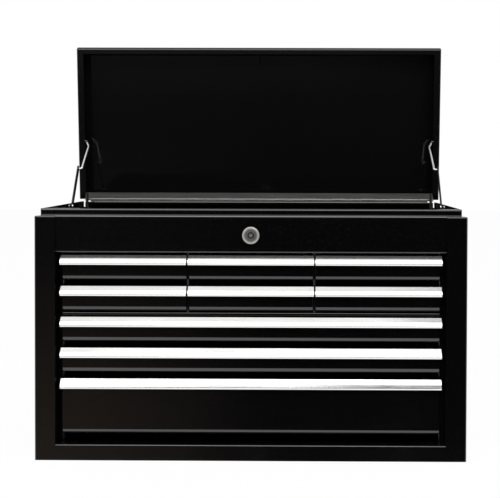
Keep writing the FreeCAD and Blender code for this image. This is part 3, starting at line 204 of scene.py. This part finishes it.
# The camera, placed as the photograph's is: a little above the header and right of the middle, and with a
# shift, because the chest stands off the middle of the frame.
eye = bpy.data.cameras.new("camera")
eye.lens = 63.22
eye.sensor_width = 36
eye.shift_x = -0.0864
eye.shift_y = -0.1404
PAN, PITCH, ROLL = 0.319, 89.0, 0.163
camera = linked("camera", eye)
camera.location = (0.0718, -1.4740, 0.4547)
turned = Matrix.Rotation(math.radians(PAN), 4, "Z") @ Matrix.Rotation(math.radians(PITCH), 4, "X")
camera.rotation_euler = (turned @ Matrix.Rotation(math.radians(ROLL), 4, "Z")).to_euler()
bpy.context.scene.camera = camera
bpy.context.scene.view_settings.view_transform = "Standard"

# The shell: side panels with their posts, back, base, bottom rail, header, till floor, dividers and rails.
# Cold-rolled sheet folded and spot welded, then powder coated in gloss black: smooth, with a faint orange
# peel, a few settled dust specks and broad hazy patches where it has been wiped.


def stretched(spot, scale):
    """The same spots, scaled by a different number along each axis."""
    return spot.node("ShaderNodeMapping", {}, {"Vector": spot, "Scale": scale})


def noise(spot, scale, detail=2.0, roughness=0.5):
    """Cloudy noise from 0 to 1; its scale is about how many clouds go to a metre."""
    sockets = {"Vector": spot, "Scale": scale, "Detail": detail, "Roughness": roughness}
    return spot.node("ShaderNodeTexNoise", {}, sockets)


def ramp(start, stops):
    """A grey ramp; stops are pairs of place and grey."""
    return start.node("ShaderNodeValToRGB", {"stops": [(a, (g, g, g, 1)) for a, g in stops]}, {"Fac": start})


def bumped(height, distance, strength):
    """A normal that stands proud by a distance in metres where the height is 1."""
    sockets = {"Height": height, "Distance": distance, "Strength": strength}
    return height.node("ShaderNodeBump", {}, sockets)


def coated(start, sockets):
    """Finish a material with one shader and its sockets' values or signals."""
    shader = start.node("ShaderNodeBsdfPrincipled", {}, sockets)
    start.node("ShaderNodeOutputMaterial", {}, {"Surface": shader})


def dress(material, names):
    """Give the solids of these names a material."""
    for name in names:
        mesh_slots = nodes[name].material_slots
        if len(mesh_slots) == 0:
            nodes[name].data.materials.append(material)
        for mesh_slot in mesh_slots:
            mesh_slot.material = material


def black_coat(name, index, grey):
    """A black powder coat of a set grey, mirroring more or less of the room by its index."""
    material, start = finish_signal(name)
    spot = surface_spot(start)
    haze = noise(spot, 6.0, detail=4.0, roughness=0.6)
    peel = noise(spot, 420.0, detail=2.0)
    ripple = noise(spot, 38.0, detail=1.0)
    specks = ramp(noise(spot, 900.0, detail=1.0), [(0.0, 0.0), (0.735, 0.0), (0.76, 1.0)])
    colour = blended(specks * 0.25, (grey, grey, grey * 1.1, 1), (0.12, 0.12, 0.12, 1))
    coated(start, {
        "Base Color": colour,
        "Roughness": ramp(haze, [(0.3, 0.05), (0.75, 0.12)]) + specks * 0.3,
        "IOR": index,
        "Normal": bumped(peel * 0.35 + ripple * 0.65, distance=0.00012, strength=0.35),
    })
    return material


black_powder = black_coat("gloss_black_powder_coat", index=1.8, grey=0.0026)
SHELL = ("left_side_panel right_side_panel back_panel base_panel bottom_rail header_panel top_tray "
         "drawer_dividers cross_rails slide_uprights").split()
dress(black_powder, SHELL)

# The drawers: each a tray folded from one sheet with its end walls welded in, in the shell's black coat, and
# a pair of zinc-plated runners that slide in the carcass's zinc-plated channels.
DRAWERS = range(1, 10)
dress(black_powder, [f"drawer_{number}_tray" for number in DRAWERS])

zinc_plate, start = finish_signal("bright_zinc_plate")
spot = surface_spot(start)
spangle = start.node("ShaderNodeTexVoronoi", {}, {"Vector": spot, "Scale": 160.0})
drawn = noise(stretched(spot, (60.0, 4.0, 900.0)), 1.0, detail=3.0)
coated(start, {
    "Base Color": blended(drawn, (0.50, 0.51, 0.53, 1), (0.68, 0.68, 0.67, 1)),
    "Metallic": 1.0,
    "Roughness": ramp(spangle, [(0.0, 0.28), (1.0, 0.44)]) + drawn * 0.06,
    "Normal": bumped(drawn, distance=0.00006, strength=0.4),
})
dress(zinc_plate, [f"drawer_{number}_runners" for number in DRAWERS])
dress(zinc_plate, ["small_drawer_slide_channels", "wide_drawer_slide_channels"])

# The pulls: one aluminium extrusion along the top of each drawer face, bright dipped, with fine die lines
# along its length and a soft waviness in what it mirrors.
bright_trim, start = finish_signal("bright_dipped_aluminium")
spot = surface_spot(start)
die_lines = noise(stretched(spot, (1.5, 700.0, 1600.0)), 1.0, detail=3.0)
wave = noise(stretched(spot, (9.0, 60.0, 60.0)), 1.0, detail=2.0)
coated(start, {
    "Base Color": blended(die_lines, (0.90, 0.90, 0.885, 1), (0.97, 0.97, 0.96, 1)),
    "Metallic": 1.0,
    "Roughness": ramp(wave, [(0.3, 0.07), (0.8, 0.15)]) + die_lines * 0.05,
    "Normal": bumped(die_lines * 0.5 + wave * 0.5, distance=0.00005, strength=0.3),
})
dress(bright_trim, [f"drawer_{number}_trim" for number in DRAWERS])

# The lid: one folded sheet with welded corners, in a thinner run of the same coat, on a piano hinge of plain
# steel along the back. Its striker plate is coated with it, and the hinge's pin is zinc-plated.
dress(black_coat("thin_black_powder_coat", index=1.55, grey=0.005), ["lid_panel", "lid_striker"])
dress(zinc_plate, ["hinge_pin"])

hinge_steel, start = finish_signal("plain_hinge_steel")
spot = surface_spot(start)
rolled = noise(stretched(spot, (12.0, 500.0, 500.0)), 1.0, detail=3.0)
coated(start, {
    "Base Color": blended(rolled, (0.24, 0.24, 0.235, 1), (0.34, 0.34, 0.33, 1)),
    "Metallic": 1.0,
    "Roughness": ramp(rolled, [(0.3, 0.42), (0.75, 0.55)]),
    "Normal": bumped(rolled, distance=0.00005, strength=0.4),
})
dress(hinge_steel, ["cabinet_hinge_leaf", "lid_hinge_leaf"])

# The lock: a satin nickel housing and plug, turned on a lathe, so its rings catch the light, with a round
# keyway, and a stamped cam and nut behind the header.
# Rings of painted shade lie at shares of the ring radius below: dark in the keyway and in the recess between
# ring and plug, mid-grey between; a tool mark sits at each turn of TOOL_MARKS radians a metre.
LOCK_UP = 0.345
SHADE_RING_RADIUS = 0.02
TOOL_MARKS = 14000.0
lock_nickel, start = finish_signal("turned_satin_nickel")
spot = surface_spot(start)
apart = start.node("ShaderNodeVectorMath", {"operation": "MULTIPLY_ADD"},
                   {0: spot, 1: (1.0, 0.0, 1.0), 2: (0.0, 0.0, -LOCK_UP)})
radius = start.node("ShaderNodeVectorMath", {"operation": "LENGTH"}, {0: apart}, output="Value")
rings = start.node("ShaderNodeMath", {"operation": "SINE"}, {0: radius * TOOL_MARKS})
wear = noise(spot, 240.0, detail=3.0)
# Painted shade by distance from the lock's axis: the keyway and the recess between ring and plug are darkened
# as if in shade, and the outer ring keeps the nickel's own colour, with a little random wear in the tone.
painted_shade_rings = ramp(radius * (1 / SHADE_RING_RADIUS), [
    (0.0, 0.45), (0.14, 0.4), (0.17, 0.0), (0.25, 0.02), (0.28, 0.45), (0.32, 0.4), (0.34, 0.06), (0.38, 0.3),
    (0.46, 0.35), (0.52, 0.9), (0.66, 1.0),
])
coated(start, {
    "Base Color": blended(painted_shade_rings * (wear * 0.3 + 0.8), (0.03, 0.028, 0.026, 1), (0.82, 0.80, 0.76, 1)),
    "Metallic": 0.8,
    "Roughness": ramp(wear, [(0.3, 0.40), (0.75, 0.52)]),
    "Normal": bumped(rings * 0.5 + wear, distance=0.00004, strength=0.5),
})
dress(lock_nickel, ["lock_housing", "lock_nut", "lock_plug", "lock_cam"])

# The lid stays: bright plated wire bent at both ends, hooked to a dark phosphated strap that turns on a
# bright rivet in each side of the collar.
bright_wire, start = finish_signal("bright_plated_wire")
spot = surface_spot(start)
scuffs = noise(spot, 300.0, detail=3.0, roughness=0.6)
coated(start, {
    "Base Color": blended(scuffs, (0.80, 0.80, 0.79, 1), (0.95, 0.95, 0.94, 1)),
    "Metallic": 1.0,
    "Roughness": ramp(scuffs, [(0.35, 0.14), (0.7, 0.3)]),
    "Normal": bumped(scuffs, distance=0.00003, strength=0.4),
})
dress(bright_wire, ["left_stay_wire", "right_stay_wire", "stay_foot_rivets"])

oiled_steel, start = finish_signal("dark_phosphated_steel")
spot = surface_spot(start)
grain = noise(spot, 520.0, detail=4.0, roughness=0.6)
stain = noise(spot, 34.0, detail=3.0)
coated(start, {
    "Base Color": blended(stain, (0.035, 0.034, 0.033, 1), (0.09, 0.086, 0.08, 1)),
    "Metallic": 0.85,
    "Roughness": ramp(grain, [(0.3, 0.34), (0.75, 0.52)]),
    "Normal": bumped(grain, distance=0.00005, strength=0.5),
})
dress(oiled_steel, ["left_stay_strap", "right_stay_strap"])

# The drawer lock: two steel rods that the closing lid presses down, guided by zinc-plated brackets, a cross
# bar with a tooth for each drawer's rear catch, and a coil spring under each rod.
dress(oiled_steel, ["drawer_lock_frame", "lock_return_springs"])
dress(zinc_plate, ["lock_rod_guides"])

# The side handles: a plated wire bail that hangs in a zinc-plated bracket on each side, with a moulded grip
# that has finger grooves and rounded ends. The bail's wire is bent from its two ears down to the grip.
dress(zinc_plate, ["handle_brackets"])
PIVOT_ACROSS = 0.338
PIVOT_UP = 0.235
BAIL_DROP = 0.036
GRIP_UP = PIVOT_UP - BAIL_DROP
WIRE_RADIUS = 0.0035
EAR_END = 0.054
LEG = 0.0465
EAR_BEND = 0.0055
GRIP_BEND = 0.008


def bent_path(corners, steps=8):
    """Points along a path whose corners, given as a spot and a radius, are rounded."""
    points = [corners[0][0]]
    for before, (corner, radius), after in zip(corners, corners[1:], corners[2:]):
        arriving = (before[0] - corner).normalized()
        leaving = (after[0] - corner).normalized()
        half = arriving.angle(leaving) / 2
        centre = corner + (arriving + leaving).normalized() * (radius / math.sin(half))
        first = corner + arriving * (radius / math.tan(half)) - centre
        last = corner + leaving * (radius / math.tan(half)) - centre
        turn = first.rotation_difference(last)
        for step in range(steps + 1):
            part = Matrix.Rotation(turn.angle * step / steps, 3, turn.axis)
            points.append(centre + part @ first)
    return points + [corners[-1][0]]


def wire_tube(name, points, radius):
    """A round wire along a path, as a closed mesh."""
    line = bpy.data.curves.new(name, "CURVE")
    line.dimensions = "3D"
    line.bevel_depth = radius
    line.bevel_resolution = 6
    line.use_fill_caps = True
    spline = line.splines.new("POLY")
    spline.points.add(len(points) - 1)
    for place, point in zip(spline.points, points):
        place.co = (*point, 1.0)
    tube = linked(name, line)
    mesh = bpy.data.meshes.new_from_object(tube)
    bpy.data.objects.remove(tube)
    mesh.polygons.foreach_set("use_smooth", [True] * len(mesh.polygons))
    return linked(name, mesh)


def turned_along_y(name, profile, middle, sides=32):
    """A turned piece about a line along Y; profile pairs a place along the line with a radius."""
    shape = bmesh.new()
    rings = []
    for along, radius in profile:
        ring = []
        for side in range(sides):
            angle = 2 * math.pi * side / sides
            step = Vector((math.cos(angle) * radius, along, math.sin(angle) * radius))
            ring.append(shape.verts.new(Vector(middle) + step))
        rings.append(ring)
    for near, far in zip(rings, rings[1:]):
        for side in range(sides):
            after = (side + 1) % sides
            shape.faces.new((near[side], near[after], far[after], far[side]))
    shape.faces.new(rings[0][::-1])
    shape.faces.new(rings[-1])
    bmesh.ops.recalc_face_normals(shape, faces=shape.faces)
    mesh = bpy.data.meshes.new(name)
    shape.to_mesh(mesh)
    shape.free()
    mesh.polygons.foreach_set("use_smooth", [True] * len(mesh.polygons))
    return linked(name, mesh)


black_grip, start = finish_signal("moulded_black_grip")
spot = surface_spot(start)
pebble = start.node("ShaderNodeTexVoronoi", {}, {"Vector": spot, "Scale": 900.0})
shine = noise(spot, 60.0, detail=3.0)
coated(start, {
    "Base Color": blended(shine, (0.012, 0.012, 0.013, 1), (0.026, 0.026, 0.027, 1)),
    "Roughness": ramp(shine, [(0.3, 0.38), (0.75, 0.55)]),
    "Normal": bumped(pebble, distance=0.00012, strength=0.5),
})
GRIP_END = -0.037
GRIP_RADIUS = 0.0054
GROOVE_RADIUS = 0.0049
GROOVE_PITCH = 0.0028
GROOVE = ((-0.0011, GRIP_RADIUS), (-0.0006, GROOVE_RADIUS), (0.0006, GROOVE_RADIUS), (0.0011, GRIP_RADIUS))
grip_profile = [
    (GRIP_END, WIRE_RADIUS + 0.0002), (GRIP_END + 0.0006, 0.0047), (GRIP_END + 0.0022, GRIP_RADIUS),
]
for number in range(-11, 12):
    grip_profile += [(number * GROOVE_PITCH + offset, radius) for offset, radius in GROOVE]
grip_profile += [(-along, radius) for along, radius in grip_profile[2::-1]]
for hand, side in (("left", -1), ("right", 1)):
    across = side * PIVOT_ACROSS
    corners = [(Vector((across, along, up)), bend) for along, up, bend in (
        (-EAR_END, PIVOT_UP, 0), (-LEG, PIVOT_UP, EAR_BEND), (-LEG, GRIP_UP, GRIP_BEND),
        (LEG, GRIP_UP, GRIP_BEND), (LEG, PIVOT_UP, EAR_BEND), (EAR_END, PIVOT_UP, 0),
    )]
    bail = wire_tube(f"{hand}_bail_wire", bent_path(corners), WIRE_RADIUS)
    bail.data.materials.append(bright_wire)
    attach(bail, f"{hand}_handle")
    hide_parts(f"{hand}_handle_bail")
    grip = turned_along_y(f"{hand}_bail_grip", grip_profile, (across, 0, GRIP_UP))
    grip.data.materials.append(black_grip)
    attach(grip, f"{hand}_handle")
